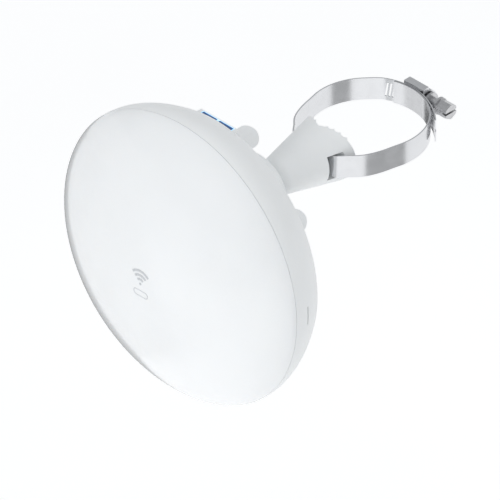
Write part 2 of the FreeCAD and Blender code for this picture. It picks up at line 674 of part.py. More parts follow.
def make_port_cover():
    low, high = "bay_floor - 1.9", "bay_depth"
    plate = box("cover_plate", head("-bay_width / 2", low, "-bay_mouth - 2.3"),
                head("bay_width / 2", high, "-bay_mouth - 0.3"))
    rim = box("cover_rim", head("-bay_width / 2 + 2.3", "bay_floor + 0.3", "-bay_mouth - 1"),
              head("bay_width / 2 - 2.3", "bay_depth - 2.3", "-bay_mouth + 4"))
    rim_room = box("cover_rim_room", head("-bay_width / 2 + 3.8", "bay_floor + 1.8", "-bay_mouth"),
                   head("bay_width / 2 - 3.8", "bay_depth - 3.8", "-bay_mouth + 5"))
    middle = "(bay_floor + bay_depth) / 2 - 1"
    hole = cylinder("cover_hole", "cable_radius + 1.4", "12", head("0", middle, "-bay_mouth - 6"), "Z")
    keep(cut("port_cover", fused("cover_whole", plate, rim), rim_room, hole), "port_cover")
    sleeve = cylinder("grommet_sleeve", "cable_radius + 1.4", "2", head("0", middle, "-bay_mouth - 2.3"), "Z")
    collar = cylinder("grommet_collar", "cable_radius + 2.6", "1.4",
                      head("0", middle, "-bay_mouth - 3.7"), "Z")
    bore = cylinder("grommet_bore", "cable_radius", "12", head("0", middle, "-bay_mouth - 8"), "Z")
    keep(cut("cable_grommet", fused("grommet_whole", sleeve, collar), bore), "cable_grommet")


# ---------------------------------------------------------------- joint

def make_liners():
    inner, outer = "ball_radius + joint_gap", "ball_radius + joint_gap + liner_wall"
    for name, start, length in (("ball_liner_front", "-20", "20 - 6.5"), ("ball_liner_rear", "1.6", "6.0")):
        whole = ball(name + "_outside", outer, JOINT)
        zone = cylinder(name + "_zone", "20", length, ("0", "-ball_distance + (%s)" % start, "0"))
        ring = shared(name + "_part", whole, zone)
        keep(cut(name, ring, ball(name + "_inside", inner, JOINT)), name)


def make_washer():
    washer = revolved("thrust_washer", [
        ("ball_radius + liner_wall + 3 * joint_gap", "thread_depth + joint_gap"),
        ("thread_radius", "thread_depth + joint_gap"),
        ("thread_radius", "thread_depth + joint_gap + washer_width"),
        ("ball_radius + liner_wall + 3 * joint_gap", "thread_depth + joint_gap + washer_width")],
        ("0", "-seam_distance", "0"))
    keep(washer, "thrust_washer")


def ear_shape():
    """One ear of the lock ring, in the plane of X and Y, made about the joint's axis."""
    inner, reach, rear, round_off = S["ear_inner"], S["ear_reach"], S["ear_depth"], S["ear_round"]
    front = S["ear_front"]
    corners = [Vector(inner, front, 0), Vector(inner + S["ear_shoulder"], front, 0),
               Vector(reach, front + S["ear_lead"], 0),
               Vector(reach, rear, 0), Vector(inner, rear, 0)]
    outline = Part.Face(Part.makePolygon(corners + corners[:1]))
    half, edge = S["ear_width"] / 2, S["ear_edge"] / 2
    blade = outline.extrude(Vector(0, 0, 2 * half))
    blade.translate(Vector(0, 0, -half))
    upright = [side for side in blade.Edges
               if len(side.Vertexes) == 2 and abs(side.Vertexes[0].Point.z - side.Vertexes[1].Point.z) > half
               and side.Vertexes[0].Point.y > rear - 1]
    blade = blade.makeFillet(round_off, upright)
    bend = inner + 0.55 * (reach - inner)
    section = [Vector(inner - 1, 0, -half), Vector(bend, 0, -half), Vector(reach + 0.1, 0, -edge),
               Vector(reach + 0.1, 0, edge), Vector(bend, 0, half), Vector(inner - 1, 0, half)]
    prism = Part.Face(Part.makePolygon(section + section[:1])).extrude(Vector(0, rear + 10, 0))
    return blade.common(prism)


def make_lock_ring():
    grip = revolved("ring_turned", [
        ("thread_radius + joint_gap", "boss_depth + 0.4"), ("ring_radius - 0.6", "boss_depth + 0.4"),
        ("ring_radius", "boss_depth + 1.0"), ("ring_radius", "ring_depth - 0.8"),
        ("ring_radius - 0.8", "ring_depth"), ("ball_radius - 0.6", "ring_depth + lip_rise"),
        ("lip_bore", "ring_depth + lip_rise"), ("lip_bore", "thread_depth + 2 * joint_gap + washer_width"),
        ("thread_radius + joint_gap", "thread_depth + 2 * joint_gap + washer_width")],
        ("0", "-seam_distance", "0"))
    ears = []
    for index, turn in enumerate((135, -45)):
        shape = ear_shape()
        shape.rotate(Vector(0, 0, 0), Vector(0, 1, 0), -turn)
        shape.translate(Vector(0, -S["seam_distance"], 0))
        ears.append(shaped("ear_%d" % index, shape))
    hollow = ball("ring_hollow", "ball_radius + liner_wall + 3 * joint_gap", JOINT)
    keep(cut("lock_ring", fused("ring_whole", grip, *ears), hollow), "lock_ring")


# ---------------------------------------------------------------- arm

def make_arm():
    ball_radius, neck = S["ball_radius"], S["neck_radius"]
    foot = math.sqrt(ball_radius ** 2 - neck ** 2)
    rear = S["ball_distance"] - 20
    bell, end = (S["bell_radius"], S["bell_end"]), (S["arm_radius"], S["ball_distance"] - 31)
    slope = (end[0] - bell[0]) / (end[1] - bell[1])
    bulge = ((neck + bell[0]) / 2 + 0.45, (S["neck_end"] + bell[1]) / 2 - 0.5)
    tail = (end[0] + slope * (rear - end[1]), rear)
    edges = [Part.Arc(Vector(0, -ball_radius, 0), Vector(ball_radius, 0, 0), Vector(neck, foot, 0)).toShape(),
             straight((neck, foot), (neck, S["neck_end"])),
             Part.Arc(Vector(neck, S["neck_end"], 0), Vector(*bulge, 0), Vector(*bell, 0)).toShape(),
             straight(bell, tail), straight(tail, (0, rear)), straight((0, rear), (0, -ball_radius))]
    body = shaped("arm_body", turned(edges, S["ball_distance"], 0))

    depth, slope, high = S["jaw_distance"], S["jaw_slope"], 40
    wide = 30
    corners = [Vector(0, -depth, -high), Vector(wide, -depth + slope * wide, -high),
               Vector(wide, 0, -high), Vector(-wide, 0, -high), Vector(-wide, -depth + slope * wide, -high)]
    jaw = Part.Face(Part.makePolygon(corners + corners[:1])).extrude(Vector(0, 0, 2 * high))
    teeth = []
    for sign in (-1, 1):
        for index in range(1, 5):
            middle = sign * (index + 0.35) * S["tooth_pitch"]
            low, top = -depth + slope * abs(middle), S["tooth_height"]
            half = 0.36 * S["tooth_pitch"]
            fall = sign * slope * half
            shape = [Vector(middle - half, low - fall - 0.2, -high),
                     Vector(middle, low + top, -high),
                     Vector(middle + half, low + fall - 0.2, -high)]
            teeth.append(Part.Face(Part.makePolygon(shape + shape[:1])).extrude(Vector(0, 0, 2 * high)))
    for tooth in teeth:
        jaw = jaw.cut(tooth)
    jaw_tool = shaped("jaw", jaw)
    front, back, half, flare, reach = S["slot_front"], S["slot_back"], S["slot_half"], S["slot_flare"], wide
    open_back = -back + flare * (reach - half)
    mouth = [Vector(-reach, -front, 0), Vector(reach, -front, 0), Vector(reach, open_back, 0),
             Vector(half, -back, 0), Vector(-half, -back, 0), Vector(-reach, open_back, 0)]
    channel = Part.Face(Part.makePolygon(mouth + mouth[:1])).extrude(Vector(0, 0, S["slot_height"]))
    channel.translate(Vector(0, 0, -S["slot_height"] / 2))
    slot = shaped("band_slot", channel)
    pole = cylinder("pole_room", "pole_radius + joint_gap", "80", ("0", "0", "-40"), "Z")
    keep(cut("pole_arm", body, jaw_tool, slot, pole), "pole_arm")


# ---------------------------------------------------------------- band, housing and worm

def around(radius, degrees):
    """A point at an angle from +Y, growing towards +X."""
    turn = math.radians(degrees)
    return Vector(radius * math.sin(turn), radius * math.cos(turn), 0)


def make_band():
    inner = S["pole_radius"] + S["joint_gap"] / 2 + S["band_wall"] / 2
    outer = inner + S["band_wall"] + 0.25
    leave = 105
    side = [around(inner, leave),
            Vector(0.905 * inner, -0.53 * inner, 0), Vector(0.825 * inner, -0.765 * inner, 0),
            Vector(0.72 * inner, -0.945 * inner, 0), Vector(0.60 * inner, -1.07 * inner, 0),
            Vector(0.33 * inner, -S["band_line"], 0)]
    leg = Part.BSplineCurve()
    along = Vector(math.cos(math.radians(leave)), -math.sin(math.radians(leave)), 0)
    leg.interpolate(Points=side, InitialTangent=along, FinalTangent=Vector(-1, 0, 0))
    right_leg = leg.toShape()
    left_leg = right_leg.mirror(Vector(0, 0, 0), Vector(1, 0, 0))
    lapped = Part.Arc(around(inner, -20), around(inner, 40), around(inner, leave)).toShape()
    front = Part.LineSegment(side[-1], Vector(-side[-1].x, side[-1].y, 0)).toShape()
    far = Part.Arc(around(inner, -leave), around(inner, -75), around(inner, -48)).toShape()
    step = Part.BSplineCurve()
    step.interpolate(Points=[around(inner, -48), around((inner + outer) / 2, -38), around(outer, -28)],
                     InitialTangent=around(1, -48 + 90), FinalTangent=around(1, -28 + 90))
    over = Part.Arc(around(outer, -28), around(outer, 0), around(outer, 22)).toShape()
    tail = Part.BSplineCurve()
    tail.interpolate(Points=[around(outer, 22), around(outer + 0.6, 36), around(outer + 2.2, 55)],
                     InitialTangent=around(1, 22 + 90), FinalTangent=around(1, 55 + 78))
    edges = [lapped, right_leg, front, left_leg, far, step.toShape(), over, tail.toShape()]
    path = Part.Wire(Part.__sortEdges__(edges))
    start = around(1, -20)
    near, far_off = start * (inner - S["band_wall"] / 2), start * (inner + S["band_wall"] / 2)
    rise = Vector(0, 0, S["band_width"] / 2)
    section = Part.makePolygon([near - rise, far_off - rise, far_off + rise, near + rise, near - rise])
    band = path.makePipeShell([section], True, False, 1)
    if band.Volume < 0:
        band.reverse()
    cuts = []
    for index in range(-8, 18):
        slot = Part.makeBox(0.9, 6, 8.0, Vector(-0.45, outer - S["band_wall"], -4.0))
        slot.rotate(Vector(0, outer, 0), Vector(0, 1, 0), 8)
        slot.rotate(Vector(0, 0, 0), Vector(0, 0, 1), -index * 3.4)
        cuts.append(slot)
    far_side = Part.makeCylinder(outer - S["band_wall"] / 2 - 0.1, 60, Vector(0, 0, -30))
    tools = Part.makeCompound([slot.cut(far_side) for slot in cuts])
    keep(shaped("clamp_band", band.cut(tools)), "clamp_band")


def make_housing():
    low = "pole_radius + joint_gap / 2 + 2 * band_wall + 0.35"
    block = box("housing_block", ("-housing_length / 2", low, "-housing_width / 2"),
                ("housing_length / 2", "screw_distance", "housing_width / 2"))
    back = cylinder("housing_back", "housing_radius", "housing_length",
                    ("-housing_length / 2", "screw_distance", "0"), "X")
    room = cylinder("worm_room", "screw_radius + joint_gap / 2", "housing_length + 4",
                    ("-housing_length / 2 - 2", "screw_distance", "0"), "X")
    lips = []
    for side, start in (("top", "band_width / 2 + 0.1"), ("bottom", "-housing_width / 2")):
        lips.append(box("saddle_" + side, ("-housing_length / 2 + 1", "pole_radius + 1.6", start),
                        ("housing_length / 2 - 1", low + " + 1",
                         start + " + (housing_width - band_width) / 2 - 0.1")))
    outside = shaped("band_room", Part.makeCylinder(
        S["pole_radius"] + S["joint_gap"] / 2 + 2 * S["band_wall"] + 0.35, 40, Vector(0, 0, -20)))
    keep(cut("clamp_housing", fused("housing_whole", block, back, *lips), room, outside), "clamp_housing")


def make_worm():
    pitch = S["screw_pitch"]
    half = S["housing_length"] / 2
    crest, root = S["screw_radius"], S["screw_radius"] - 1.0
    outline = [Vector(-half - 0.6, 0, 0), Vector(-half - 0.6, root, 0)]
    place_x = -half - 0.2
    while place_x + pitch < half + 0.4:
        outline += [Vector(place_x, root, 0), Vector(place_x + 0.35 * pitch, crest, 0),
                    Vector(place_x + 0.5 * pitch, crest, 0), Vector(place_x + 0.85 * pitch, root, 0)]
        place_x += pitch
    outline += [Vector(half + 0.8, root, 0), Vector(half + 0.8, crest + 0.9, 0),
                Vector(half + 2.0, crest + 0.9, 0), Vector(half + 2.0, root, 0), Vector(S["head_start"] - 1.3, root, 0),
                Vector(S["head_start"] - 1.3, 0, 0)]
    face = Part.Face(Part.makePolygon(outline + outline[:1]))
    thread = face.revolve(Vector(0, 0, 0), Vector(1, 0, 0), 360)
    thread.translate(Vector(0, S["screw_distance"], 0))
    worm = shaped("worm_thread", thread)
    collar = cylinder("head_collar", "head_flats / 2 + 0.9", "1.4",
                      ("head_start - 1.4", "screw_distance", "0"), "X")
    top = hexagon("hex_head", "head_flats", "head_length", ("head_start", "screw_distance", "0"))
    dome = ball("head_dome", "head_flats * 0.82",
                ("head_start + head_length - head_flats * 0.62", "screw_distance", "0"))
    rounded = shared("hex_rounded", top, dome)
    stub = hexagon("hex_stub", "head_flats", "head_length / 2", ("head_start", "screw_distance", "0"))
    slot = box("driver_slot", ("head_start + head_length - 2.2", "screw_distance - 8", "-0.6"),
               ("head_start + head_length + 2", "screw_distance + 8", "0.6"))
    keep(cut("worm_screw", fused("worm_whole", worm, collar, rounded, stub), slot), "worm_screw")


make_radome()
make_rear_shell()
make_port_housing()
make_reflector()
make_feed()
make_board()
make_jack()
make_light_bar()
make_button()
make_fittings()
make_port_cover()
make_liners()
make_washer()
make_lock_ring()
make_arm()
make_band()
make_housing()
make_worm()

doc.recompute()
broken = [item.Name for item in doc.Objects if "Invalid" in item.State or "Error" in item.State]
if broken:
    raise RuntimeError("these objects failed: " + ", ".join(broken))
for item in nodes:
    if item.Shape.isNull() or not item.Shape.isValid() or item.Shape.Volume <= 0:
        raise RuntimeError(item.Label + " has no valid shape")

os.makedirs("parts", exist_ok=True)
for item in nodes:
    item.Shape.exportStep("parts/%s.step" % item.Label)
    bounds = item.Shape.BoundBox
    print("%-20s solids %d  volume %9.1f  X %7.1f %7.1f  Y %7.1f %7.1f  Z %7.1f %7.1f" % (
        item.Label, len(item.Shape.Solids), item.Shape.Volume,
        bounds.XMin, bounds.XMax, bounds.YMin, bounds.YMax, bounds.ZMin, bounds.ZMax))
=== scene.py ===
"""Looks of an outdoor wireless bridge: a dish head on a ball joint, an arm and a worm-drive band.

Every length is in metres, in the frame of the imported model: +Z up along the pole, the dish looks along -Y.
"""
import json
import logging
import math
from dataclasses import dataclass, field
from enum import Enum
from typing import Iterable, Sequence

import bmesh
import bpy
from mathutils import Matrix, Vector


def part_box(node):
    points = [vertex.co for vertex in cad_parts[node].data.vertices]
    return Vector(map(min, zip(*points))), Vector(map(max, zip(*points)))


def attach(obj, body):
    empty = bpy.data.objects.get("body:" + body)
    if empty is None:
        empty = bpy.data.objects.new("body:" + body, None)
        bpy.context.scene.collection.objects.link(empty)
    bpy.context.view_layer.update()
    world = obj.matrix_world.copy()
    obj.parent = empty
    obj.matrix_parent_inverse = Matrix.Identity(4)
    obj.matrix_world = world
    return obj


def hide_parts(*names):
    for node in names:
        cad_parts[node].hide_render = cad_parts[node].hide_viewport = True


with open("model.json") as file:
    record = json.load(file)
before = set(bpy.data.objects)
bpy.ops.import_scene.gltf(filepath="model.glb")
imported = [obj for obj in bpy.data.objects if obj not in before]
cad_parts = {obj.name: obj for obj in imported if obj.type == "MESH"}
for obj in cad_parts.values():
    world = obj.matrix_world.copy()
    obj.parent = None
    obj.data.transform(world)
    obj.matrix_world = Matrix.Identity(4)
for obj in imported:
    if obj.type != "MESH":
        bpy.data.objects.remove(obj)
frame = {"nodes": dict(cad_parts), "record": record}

LOG = logging.getLogger("bridge")
MM = 0.001
Colour = tuple[float, float, float]
Stops = Iterable[tuple[float, Colour]]


class Grain(Enum):
    """How a moulded surface was textured in its tool."""

    POLISHED = "polished"
    SATIN = "satin"
    MATT = "matt"


class Streak(Enum):
    """The way that rolled or brushed metal's streaks run."""

    OBJECT_X = "along X"
    OBJECT_Z = "along Z"
    TURNED = "none: turned or plated"


# ---------------------------------------------------------------- finishes

class Board:
    """A material's node tree, with short ways to add the nodes that the finishes share."""

    def __init__(self, name: str) -> None:
        """Start a material with one Principled shader.

        Args:
            name: the material's name.
        """
        self.material = bpy.data.materials.new(name)
        self.material.use_nodes = True
        self.tree = self.material.node_tree
        self.shader = self.tree.nodes["Principled BSDF"]
        self.coordinates = self.tree.nodes.new("ShaderNodeTexCoord")

    def add(self, kind: str, **properties: object) -> bpy.types.Node:
        """Add a node and set its properties."""
        node = self.tree.nodes.new("ShaderNode" + kind)
        for name, value in properties.items():
            setattr(node, name, value)
        return node

    def link(self, start: bpy.types.NodeSocket, end: bpy.types.NodeSocket) -> None:
        """Join an output to an input."""
        self.tree.links.new(start, end)

    def set(self, **values: object) -> None:
        """Set sockets of the shader, with _ for a space in a name."""
        for name, value in values.items():
            self.shader.inputs[name.replace("_", " ")].default_value = value

    def place(self, source: str = "Object", scale: Sequence[float] = (1, 1, 1),
              turn: Sequence[float] = (0, 0, 0)) -> bpy.types.NodeSocket:
        """Give coordinates, scaled and turned.

        Args:
            source: the output of Texture Coordinate.
            scale: factors along X, Y and Z.
            turn: angles about X, Y and Z.

        Returns:
            The socket that holds the coordinates.
        """
        mapping = self.add("Mapping")
        mapping.inputs["Scale"].default_value = scale
        mapping.inputs["Rotation"].default_value = turn
        self.link(self.coordinates.outputs[source], mapping.inputs["Vector"])
        return mapping.outputs["Vector"]

    def noise(self, at: bpy.types.NodeSocket, scale: float, detail: float = 2.0,
              roughness: float = 0.5) -> bpy.types.NodeSocket:
        """A noise pattern's strength."""
        node = self.add("TexNoise")
        node.inputs["Scale"].default_value = scale
        node.inputs["Detail"].default_value = detail
        node.inputs["Roughness"].default_value = roughness
        self.link(at, node.inputs["Vector"])
        return node.outputs["Fac"]

    def spread(self, value: bpy.types.NodeSocket, low: float, high: float,
               start: float = 0.3, end: float = 0.7) -> bpy.types.NodeSocket:
        """Map a pattern from start..end to low..high."""
        node = self.add("MapRange")
        for name, number in (("From Min", start), ("From Max", end), ("To Min", low), ("To Max", high)):
            node.inputs[name].default_value = number
        self.link(value, node.inputs["Value"])
        return node.outputs["Result"]

    def ramp(self, value: bpy.types.NodeSocket, stops: Stops) -> bpy.types.NodeSocket:
        """Turn a pattern into colours.

        Args:
            value: the pattern.
            stops: places from 0 to 1 with their colours, in order.

        Returns:
            The colour socket.
        """
        node = self.add("ValToRGB")
        elements = node.color_ramp.elements
        stops = list(stops)
        while len(elements) < len(stops):
            elements.new(0.5)
        for element, (position, colour) in zip(elements, stops):
            element.position = position
            element.color = (*colour, 1.0)
        self.link(value, node.inputs["Fac"])
        return node.outputs["Color"]

    def paint(self, pattern: bpy.types.NodeSocket, stops: Stops) -> None:
        """Colour the surface by a pattern.

        Args:
            pattern: the pattern.
            stops: places from 0 to 1 with their colours, in order.
        """
        self.link(self.ramp(pattern, stops), self.shader.inputs["Base Color"])

    def blend(self, first: bpy.types.NodeSocket, second: bpy.types.NodeSocket,
              share: float) -> bpy.types.NodeSocket:
        """Add two patterns, the first by its share and the second by the rest of 1."""
        return self.calculate("ADD", self.calculate("MULTIPLY", first, share),
                              self.calculate("MULTIPLY", second, 1 - share))

    def calculate(self, operation: str, first: object, second: object = 0.0) -> bpy.types.NodeSocket:
        """Join two values, sockets or numbers, by a Math node."""
        node = self.add("Math", operation=operation)
        for socket, value in zip(node.inputs, (first, second)):
            if isinstance(value, (int, float)):
                socket.default_value = value
            else:
                self.link(value, socket)
        return node.outputs["Value"]

    def bump(self, height: bpy.types.NodeSocket, distance: float, strength: float = 1.0,
             under: bpy.types.NodeSocket | None = None) -> bpy.types.NodeSocket:
        """Raise the surface by a pattern.

        Args:
            height: the pattern.
            distance: the height of its full range, in metres.
            strength: how much of it shows.
            under: another bump's normal, to lay this one on.

        Returns:
            The normal socket, already linked to the shader.
        """
        node = self.add("Bump")
        node.inputs["Strength"].default_value = strength
        node.inputs["Distance"].default_value = distance
        self.link(height, node.inputs["Height"])
        if under is not None:
            self.link(under, node.inputs["Normal"])
        self.link(node.outputs["Normal"], self.shader.inputs["Normal"])
        return node.outputs["Normal"]


def toned(colour: Colour, factor: float) -> Colour:
    """A colour made lighter or darker."""
    return tuple(min(1.0, part * factor) for part in colour)


@dataclass(frozen=True)
class MouldedPlastic:
    """Injection-moulded plastic, with the tool's grain and a faint flow of tone."""

    name: str
    colour: Colour
    grain: Grain = Grain.SATIN
    subsurface: float = 0.0

    def build(self) -> bpy.types.Material:
        """Make the material."""
        board = Board(self.name)
        at = board.place()
        low, high = {Grain.POLISHED: (0.13, 0.19), Grain.SATIN: (0.34, 0.44),
                     Grain.MATT: (0.5, 0.62)}[self.grain]
        flow = board.noise(at, 26.0, 3.0)
        speck = board.noise(at, 900.0, 2.0)
        board.paint(board.blend(flow, speck, 0.8),
                    [(0.3, toned(self.colour, 0.975)), (0.5, self.colour), (0.7, toned(self.colour, 1.012))])
        board.link(board.spread(board.noise(at, 140.0, 4.0), low, high), board.shader.inputs["Roughness"])
        fine, depth = {Grain.POLISHED: (700.0, 0.000004), Grain.SATIN: (2600.0, 0.00003),
                       Grain.MATT: (1900.0, 0.00006)}[self.grain]
        grain = board.bump(board.noise(at, fine, 3.0, 0.6), depth)
        board.bump(board.noise(at, 45.0, 1.0), 0.00003, 0.5, grain)
        board.set(IOR=1.5, Subsurface_Weight=self.subsurface)
        if self.subsurface:
            board.shader.inputs["Subsurface Radius"].default_value = (1.0, 0.9, 0.8)
            board.set(Subsurface_Scale=0.0012)
        if self.grain is Grain.POLISHED:
            board.set(Coat_Weight=0.35, Coat_Roughness=0.06)
        return board.material


@dataclass(frozen=True)
class Metal:
    """Bare or plated metal with rolled, brushed or plated texture."""

    name: str
    colour: Colour
    roughness: float
    streak: Streak
    wear: float = 0.1

    def build(self) -> bpy.types.Material:
        """Make the material."""
        board = Board(self.name)
        scale = {Streak.OBJECT_X: (60.0, 2600.0, 2600.0), Streak.OBJECT_Z: (2600.0, 2600.0, 60.0),
                 Streak.TURNED: (900.0, 900.0, 900.0)}[self.streak]
        lines = board.noise(board.place(scale=scale), 1.0, 4.0, 0.65)
        blotch = board.noise(board.place(), 180.0, 5.0, 0.6)
        board.paint(board.blend(lines, blotch, 0.5),
                    [(0.32, toned(self.colour, 1 - self.wear)), (0.5, self.colour),
                     (0.68, toned(self.colour, 1 + 0.4 * self.wear))])
        rough = board.spread(board.blend(lines, blotch, 0.6), self.roughness * 0.75, self.roughness * 1.35)
        board.link(rough, board.shader.inputs["Roughness"])
        board.bump(lines, 0.000008)
        board.set(Metallic=1.0)
        return board.material


@dataclass(frozen=True)
class Rubber:
    """Soft moulded rubber with a dusty bloom."""

    name: str
    colour: Colour = (0.035, 0.035, 0.037)

    def build(self) -> bpy.types.Material:
        """Make the material."""
        board = Board(self.name)
        at = board.place()
        bloom = board.noise(at, 300.0, 5.0, 0.65)
        board.paint(bloom, [(0.35, self.colour), (0.75, toned(self.colour, 2.2))])
        board.link(board.spread(bloom, 0.6, 0.85), board.shader.inputs["Roughness"])
        board.bump(board.noise(at, 2400.0, 2.0), 0.00005)
        board.set(Sheen_Weight=0.15, Sheen_Roughness=0.5)
        return board.material


@dataclass(frozen=True)
class CircuitBoard:
    """Solder mask over copper tracks, with small tinned pads."""

    name: str
    mask: Colour = (0.012, 0.10, 0.045)

    def build(self) -> bpy.types.Material:
        """Make the material."""
        board = Board(self.name)
        at = board.place(turn=(math.radians(90), 0, 0))
        tracks = board.add("TexBrick", offset=0.37, squash=0.6, squash_frequency=3)
        for name, value in (("Scale", 260.0), ("Mortar Size", 0.03), ("Brick Width", 1.7),
                            ("Row Height", 0.4)):
            tracks.inputs[name].default_value = value
        tracks.inputs["Color1"].default_value = (*self.mask, 1)
        tracks.inputs["Color2"].default_value = (*toned(self.mask, 0.75), 1)
        tracks.inputs["Mortar"].default_value = (*toned(self.mask, 2.4), 1)
        board.link(at, tracks.inputs["Vector"])
        pads = board.add("TexVoronoi")
        pads.inputs["Scale"].default_value = 420.0
        board.link(at, pads.inputs["Vector"])
        dots = board.calculate("LESS_THAN", pads.outputs["Distance"], 0.16)
        mix = board.add("Mix", data_type="RGBA")
        board.link(dots, mix.inputs["Factor"])
        board.link(tracks.outputs["Color"], mix.inputs["A"])
        mix.inputs["B"].default_value = (0.62, 0.60, 0.55, 1)
        board.link(mix.outputs["Result"], board.shader.inputs["Base Color"])
        board.link(board.spread(board.noise(at, 500.0), 0.22, 0.4), board.shader.inputs["Roughness"])
        board.bump(tracks.outputs["Fac"], 0.00004)
        return board.material


@dataclass(frozen=True)
class LitPlastic:
    """Clear plastic with light behind it: brightest at one edge, with a soft cloudiness."""

    name: str
    deep: Colour
    bright: Colour
    middle: float
    half: float
    strength: float

    def build(self) -> bpy.types.Material:
        """Make the material."""
        board = Board(self.name)
        split = board.add("SeparateXYZ")
        board.link(board.place(), split.inputs["Vector"])
        away = board.calculate("ABSOLUTE", board.calculate("SUBTRACT", split.outputs["Y"], self.middle))
        cloud = board.noise(board.place(), 420.0, 3.0)
        edge = board.calculate("ADD", board.calculate("DIVIDE", away, self.half),
                               board.calculate("MULTIPLY", cloud, 0.25))
        colour = board.ramp(edge, [(0.68, self.deep), (0.9, toned(self.deep, 2.0)), (0.9818, self.bright)])
        board.link(colour, board.shader.inputs["Base Color"])
        board.link(colour, board.shader.inputs["Emission Color"])
        board.link(board.spread(cloud, 0.08, 0.16), board.shader.inputs["Roughness"])
        board.set(Emission_Strength=self.strength, Coat_Weight=0.5, Coat_Roughness=0.05)
        return board.material


@dataclass(frozen=True)
class Print:
    """Pad-printed ink that lets a little of the plastic through."""

    name: str
    ink: Colour

    def build(self) -> bpy.types.Material:
        """Make the material."""
        board = Board(self.name)
        at = board.place()
        board.paint(board.noise(at, 1500.0, 3.0),
                    [(0.3, toned(self.ink, 0.94)), (0.7, toned(self.ink, 1.05))])
        board.link(board.spread(board.noise(at, 600.0), 0.25, 0.35), board.shader.inputs["Roughness"])
        board.bump(board.noise(at, 2500.0), 0.000004)
        return board.material


@dataclass(frozen=True)
class Cloth:
    """Matt pale cloth or paper of the stage, which may glow by itself."""

    name: str
    tone: float
    shade: float
    scale: float
    detail: float
    glow: float

    def build(self) -> bpy.types.Material:
        """Make the material."""
        board = Board(self.name)
        board.paint(board.noise(board.place(), self.scale, self.detail),
                    [(0.3, (self.shade,) * 3), (0.7, (self.tone,) * 3)])
        board.set(Roughness=0.9, Specular_IOR_Level=0.1, Emission_Color=(1.0, 1.0, 1.0, 1.0),
                  Emission_Strength=self.glow)
        return board.material


WHITE: Colour = (0.86, 0.875, 0.885)
SHELL: Colour = (0.85, 0.865, 0.87)
BAR_MIDDLE = (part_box("light_guide")[0].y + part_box("light_guide")[1].y) / 2
BAR_HALF = (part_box("light_guide")[1].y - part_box("light_guide")[0].y) / 2

FINISHES = {
    "radome_white": MouldedPlastic("radome_white", WHITE, Grain.POLISHED, 0.15),
    "shell_white": MouldedPlastic("shell_white", SHELL, Grain.SATIN, 0.08),
    "arm_white": MouldedPlastic("arm_white", SHELL, Grain.SATIN, 0.08),
    "seal_rubber": Rubber("seal_rubber"),
    "sheet_aluminium": Metal("sheet_aluminium", (0.78, 0.79, 0.80), 0.28, Streak.OBJECT_X, 0.06),
    "feed_brass": Metal("feed_brass", (0.80, 0.62, 0.30), 0.22, Streak.TURNED, 0.12),
    "feed_plastic": MouldedPlastic("feed_plastic", (0.80, 0.79, 0.72), Grain.MATT),
    "circuit_board": CircuitBoard("circuit_board"),
    "tinned_steel": Metal("tinned_steel", (0.70, 0.70, 0.69), 0.32, Streak.OBJECT_Z, 0.10),
    "small_screws": Metal("small_screws", (0.58, 0.58, 0.59), 0.30, Streak.TURNED, 0.2),
    "black_plastic": MouldedPlastic("black_plastic", (0.022, 0.022, 0.024), Grain.MATT),
    "light_guide": LitPlastic("light_guide", (0.42, 0.74, 0.98), (0.66, 0.88, 1.0), BAR_MIDDLE,
                              BAR_HALF, 0.45),
    "window_blue": LitPlastic("window_blue", (0.012, 0.065, 0.20), (0.10, 0.36, 0.80), BAR_MIDDLE,
                              BAR_HALF * 0.8, 0.25),
    "vent_grey": MouldedPlastic("vent_grey", (0.10, 0.105, 0.11), Grain.MATT),
    "liner_grey": MouldedPlastic("liner_grey", (0.09, 0.092, 0.10), Grain.MATT),
    "stainless_band": Metal("stainless_band", (0.72, 0.725, 0.74), 0.20, Streak.OBJECT_X, 0.08),
    "zinc_screw": Metal("zinc_screw", (0.60, 0.60, 0.61), 0.24, Streak.TURNED, 0.22),
}
MATERIALS = {slot: finish.build() for slot, finish in FINISHES.items()}
INK = Print("grey_ink", (0.56, 0.58, 0.60)).build()


# ---------------------------------------------------------------- making pieces

class Piece:
    """A mesh in the making, at the place where it stays."""

    def __init__(self, name: str) -> None:
        """Start an empty mesh."""
        self.name = name
        self.mesh = bmesh.new()

    def spin(self, outline: Sequence[tuple[float, float]], middle: Vector, steps: int = 160) -> list:
        """Turn an open outline about Y through a full circle.

        Args:
            outline: radius and Y of each point.
            middle: a point on the axis; its Y isn't used.
            steps: facets around.

        Returns:
            The new faces.
        """
        before = set(self.mesh.faces)
        points = [self.mesh.verts.new((middle.x + radius, along, middle.z)) for radius, along in outline]
        edges = [self.mesh.edges.new(pair) for pair in zip(points, points[1:])]
        bmesh.ops.spin(self.mesh, geom=points + edges, cent=(middle.x, 0, middle.z), axis=(0, 1, 0),
                       angle=math.tau, steps=steps, use_merge=True)
        bmesh.ops.remove_doubles(self.mesh, verts=self.mesh.verts, dist=1e-6)
        return [face for face in self.mesh.faces if face not in before]

    def finish(self, body: str, material: bpy.types.Material, slot: str | None = None,
               stands_for: Sequence[str] = (), smooth: float = 35.0) -> bpy.types.Object:
        """Make the object, dress it and let it ride.

        Args:
            body: the body that it rides on.
            material: its finish.
            slot: the record's material slot; not used.
            stands_for: CAD nodes that it replaces.
            smooth: edges sharper than this many degrees stay sharp.

        Returns:
            The object.
        """
        bmesh.ops.recalc_face_normals(self.mesh, faces=self.mesh.faces)
        data = bpy.data.meshes.new(self.name)
        for face in self.mesh.faces:
            face.smooth = True
        for edge in self.mesh.edges:
            edge.smooth = len(edge.link_faces) == 2 and edge.calc_face_angle(0.0) < math.radians(smooth)
        self.mesh.to_mesh(data)
        self.mesh.free()
        item = bpy.data.objects.new(self.name, data)
        bpy.context.scene.collection.objects.link(item)
        data.materials.append(material)
        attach(item, body)
        if stands_for:
            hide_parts(*stands_for)
        LOG.info("%s: %d faces on %s", self.name, len(data.polygons), body)
        return item


